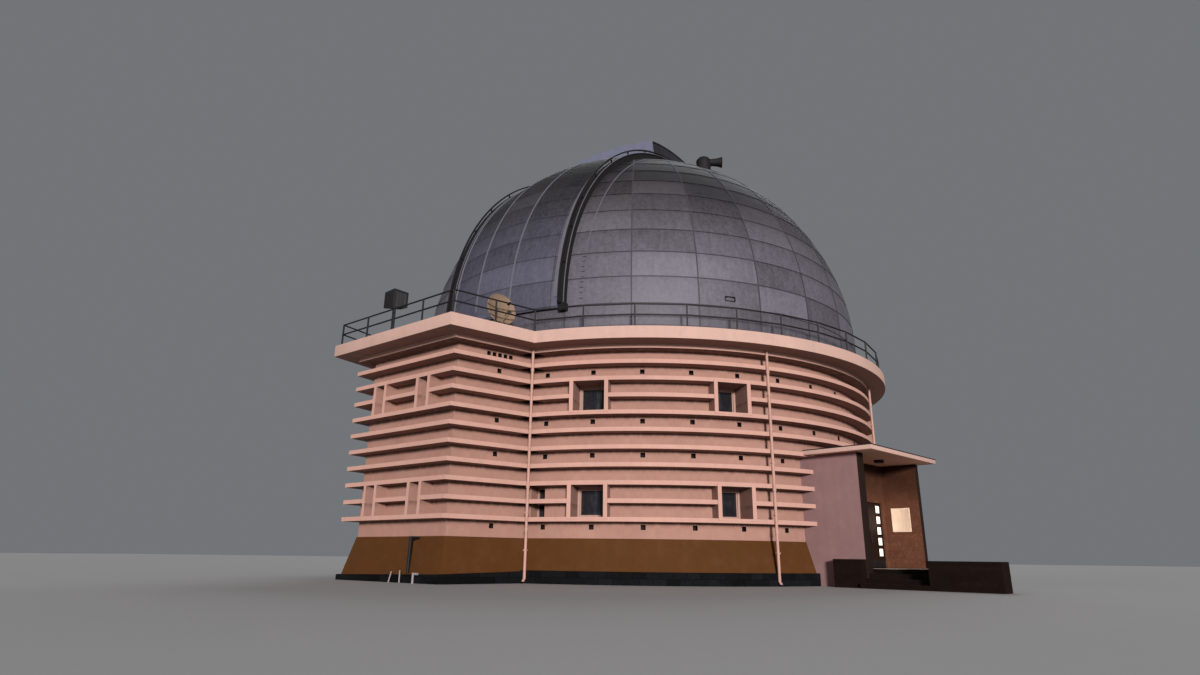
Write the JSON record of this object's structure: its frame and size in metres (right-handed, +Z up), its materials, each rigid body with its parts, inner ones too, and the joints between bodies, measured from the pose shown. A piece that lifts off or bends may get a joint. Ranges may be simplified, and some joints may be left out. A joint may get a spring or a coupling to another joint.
{
  "type": "observatory dome building",
  "caption": "Round ribbed concrete observatory with a stair annex, an entrance porch, an open gallery and a turning metal dome with a shuttered slit.",
  "frame": {"origin": "on the dome's turning axis, at ground level under the ground floor", "axes": "+Z up along the dome's turning axis; -Y is the front, +X to the right seen from the front"},
  "size_m": [23.4643, 23.6742, 20.463],
  "materials": {
    "ribbed_render": "painted cement render, weathered",
    "slab_render": "painted cement render, smooth",
    "floor_concrete": "floated concrete",
    "brown_stone": "honed stone slabs",
    "dome_sheet": "seamed sheet metal, weathered",
    "dark_steel": "dark paint, satin",
    "railing_paint": "dark paint, satin",
    "pipe_paint": "matt paint",
    "window_glass": "clear, unlit behind",
    "plaque_brass": "dulled, blank",
    "dish_paint": "matt paint"
  },
  "bodies": {
    "building": {"annex_rear_wall": "ribbed_render", "annex_end_wall": "ribbed_render", "annex_front_wall": "ribbed_render", "drum_wall_front_left": "ribbed_render", "drum_wall_front_right": "ribbed_render", "drum_wall_entrance": "ribbed_render", "drum_wall_right": "ribbed_render", "drum_wall_rear_right": "ribbed_render", "drum_wall_rear": "ribbed_render", "drum_wall_rear_left": "ribbed_render", "drum_wall_left": "ribbed_render", "ground_floor": "floor_concrete", "upper_floor": "floor_concrete", "gallery_slab": "slab_render", "glass_upper": "window_glass", "glass_lower": "window_glass", "porch_left_wall": "ribbed_render", "porch_right_wall": "brown_stone", "entrance_wall": "brown_stone", "porch_canopy": "slab_render", "entrance_steps": "brown_stone", "step_wall_right": "brown_stone", "side_planter": "brown_stone", "wall_plaque": "plaque_brass", "dome_track": "dark_steel", "gallery_railing_1": "railing_paint", "gallery_railing_2": "railing_paint", "gallery_railing_3": "railing_paint", "gallery_railing_4": "railing_paint", "gallery_railing_5": "railing_paint", "gallery_railing_6": "railing_paint", "annex_railing": "railing_paint", "rain_pipe_left": "pipe_paint", "rain_pipe_right": "pipe_paint", "rain_pipe_far_right": "pipe_paint", "dish_antenna": "dish_paint", "floodlight": "dark_steel"},
    "turning_dome": {"dome_shell_front": "dome_sheet", "dome_shell_rear_right": "dome_sheet", "dome_shell_rear_left": "dome_sheet", "dome_shell_left": "dome_sheet", "dome_base_ring": "dark_steel", "slit_arch_left": "dark_steel", "slit_arch_right": "dark_steel", "roof_cowl": "dome_sheet"},
    "lower_shutter_leaf": {"lower_shutter": "dome_sheet"},
    "upper_shutter_leaf": {"upper_shutter": "dome_sheet"},
    "left_door": {"door_leaf_left": "dark_steel"},
    "right_door": {"door_leaf_right": "dark_steel"}
  },
  "joints": [
    {"name": "dome_rotation", "type": "hinge", "parent": "building", "child": "turning_dome", "pos_m": [0, 0, 8.33], "axis": [0, 0, 1], "continuous": true},
    {"name": "lower_shutter_travel", "type": "hinge", "parent": "turning_dome", "child": "lower_shutter_leaf", "pos_m": [0, 0, 9.523], "axis": [-0.849, 0.5284, 0], "range_deg": [0, 72]},
    {"name": "upper_shutter_travel", "type": "hinge", "parent": "turning_dome", "child": "upper_shutter_leaf", "pos_m": [0, 0, 9.523], "axis": [-0.849, 0.5284, 0], "range_deg": [0, 36]},
    {"name": "left_door_hinge", "type": "hinge", "parent": "building", "child": "left_door", "pos_m": [7.57851, -7.2005, 0.6], "axis": [0, 0, -1], "range_deg": [0, 90]},
    {"name": "right_door_hinge", "type": "hinge", "parent": "building", "child": "right_door", "pos_m": [9.1242, -5.48383, 0.6], "axis": [0, 0, 1], "range_deg": [0, 90]}
  ],
  "couplings": [
    {"joint": "upper_shutter_travel", "follows": "lower_shutter_travel", "ratio": 0.5}
  ]
}
